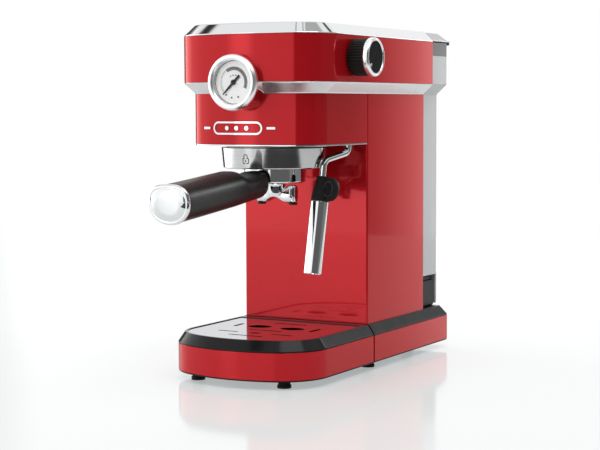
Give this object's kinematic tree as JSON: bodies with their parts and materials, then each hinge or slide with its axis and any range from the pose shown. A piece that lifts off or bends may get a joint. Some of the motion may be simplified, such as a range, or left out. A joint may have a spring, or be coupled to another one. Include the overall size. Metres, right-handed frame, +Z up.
{
  "type": "espresso machine",
  "caption": "Slim pump espresso machine with a round pressure gauge, filter holder, steam wand, lift-out water tank and pull-out drip tray.",
  "frame": {"origin": "on the floor, on the machine's middle plane, half way along the base", "axes": "+X to the user's right, +Y to the back, +Z up"},
  "size_m": [0.169, 0.3897, 0.307],
  "materials": {
    "red_lacquer": "glossy metallic lacquer",
    "chrome": "polished",
    "steel": "satin",
    "gloss_black": "polished",
    "matte_black": "fine satin",
    "grey_plastic": "moulded",
    "rubber": "matt",
    "gasket": "matt",
    "dial_white": "printed",
    "needle_black": "matt",
    "clear": "clear",
    "tank_clear": "translucent",
    "lid_silver": "silvered",
    "brass": "machined",
    "cast_aluminium": "cast"
  },
  "bodies": {
    "machine": {"base_pan": "matte_black", "base_skin": "red_lacquer", "base_deck": "gloss_black", "base_feet": "rubber", "cord_gland": "matte_black", "front_panel": "red_lacquer", "side_panel_left": "red_lacquer", "side_panel_right": "red_lacquer", "column_frame": "grey_plastic", "rear_cover": "matte_black", "head_floor": "matte_black", "head_trim": "chrome", "lower_head_band": "red_lacquer", "belt_strip": "chrome", "upper_head_band": "red_lacquer", "badge": "chrome", "head_frame": "grey_plastic", "top_frame": "chrome", "cup_plate": "steel", "button_panel": "gloss_black", "gauge_housing": "chrome", "gauge_bezel": "chrome", "gauge_dial": "dial_white", "gauge_lens": "clear", "steam_valve": "brass", "group_collar": "steel", "group_head": "cast_aluminium", "group_gasket": "gasket", "shower_screen": "steel", "shower_screw": "steel", "wand_nut": "chrome", "tank_seat": "matte_black", "boiler": "cast_aluminium", "pump": "brass"},
    "needle": {"gauge_needle": "needle_black"},
    "steam_knob": {"knob_body": "matte_black", "knob_ring": "chrome", "knob_face": "matte_black", "knob_spindle": "steel"},
    "button_left": {"button_1": "chrome"},
    "button_middle": {"button_2": "chrome"},
    "button_right": {"button_3": "chrome"},
    "filter_holder": {"portafilter_bowl": "chrome", "filter_basket": "steel", "spout": "chrome", "spout_tips": "matte_black", "handle_neck": "chrome", "handle_grip": "matte_black", "handle_cap": "chrome"},
    "wand": {"wand_pipe": "chrome", "wand_grip": "rubber", "wand_tip": "steel"},
    "sleeve": {"wand_sleeve": "chrome"},
    "tray": {"tray_tub": "gloss_black", "tray_skin": "red_lacquer", "tray_feet": "rubber"},
    "plate": {"drip_plate": "steel"},
    "tank": {"tank_body": "tank_clear", "tank_valve": "matte_black"},
    "lid": {"tank_lid": "lid_silver"}
  },
  "joints": [
    {"name": "gauge_pointer", "type": "hinge", "parent": "machine", "child": "needle", "pos_m": [0, -0.1325, 0.2566], "axis": [0, 1, 0], "range_deg": [0, 268], "stiffness_Nm_per_rad": 0.002},
    {"name": "steam_knob_turn", "type": "hinge", "parent": "machine", "child": "steam_knob", "pos_m": [0.0735, -0.056, 0.278], "axis": [1, 0, 0], "range_deg": [0, 270]},
    {"name": "press_left", "type": "slide", "parent": "machine", "child": "button_left", "axis": [0, 0, -1], "range_m": [0, 0.002], "stiffness_N_per_m": 400},
    {"name": "press_middle", "type": "slide", "parent": "machine", "child": "button_middle", "axis": [0, 0, -1], "range_m": [0, 0.002], "stiffness_N_per_m": 400},
    {"name": "press_right", "type": "slide", "parent": "machine", "child": "button_right", "axis": [0, 0, -1], "range_m": [0, 0.002], "stiffness_N_per_m": 400},
    {"name": "filter_holder_lock", "type": "hinge", "parent": "machine", "child": "filter_holder", "pos_m": [0, -0.0655, 0.19], "axis": [0, 0, 1], "range_deg": [-45, 0]},
    {"name": "wand_swing", "type": "hinge", "parent": "machine", "child": "wand", "pos_m": [0.056, -0.0335, 0.205], "axis": [0, 0, 1], "range_deg": [0, 80]},
    {"name": "sleeve_pull", "type": "slide", "parent": "wand", "child": "sleeve", "axis": [-0.0339, -0.1527, -0.9877], "range_m": [0, 0.045]},
    {"name": "tray_slide", "type": "slide", "parent": "machine", "child": "tray", "axis": [0, -1, 0], "range_m": [0, 0.15]},
    {"name": "plate_lift", "type": "slide", "parent": "tray", "child": "plate", "axis": [0, 0, 1], "range_m": [0, 0.03]},
    {"name": "tank_lift", "type": "slide", "parent": "machine", "child": "tank", "axis": [0, 0, 1], "range_m": [0, 0.06]},
    {"name": "lid_hinge", "type": "hinge", "parent": "tank", "child": "lid", "pos_m": [0, 0.111, 0.304], "axis": [1, 0, 0], "range_deg": [0, 90]}
  ]
}
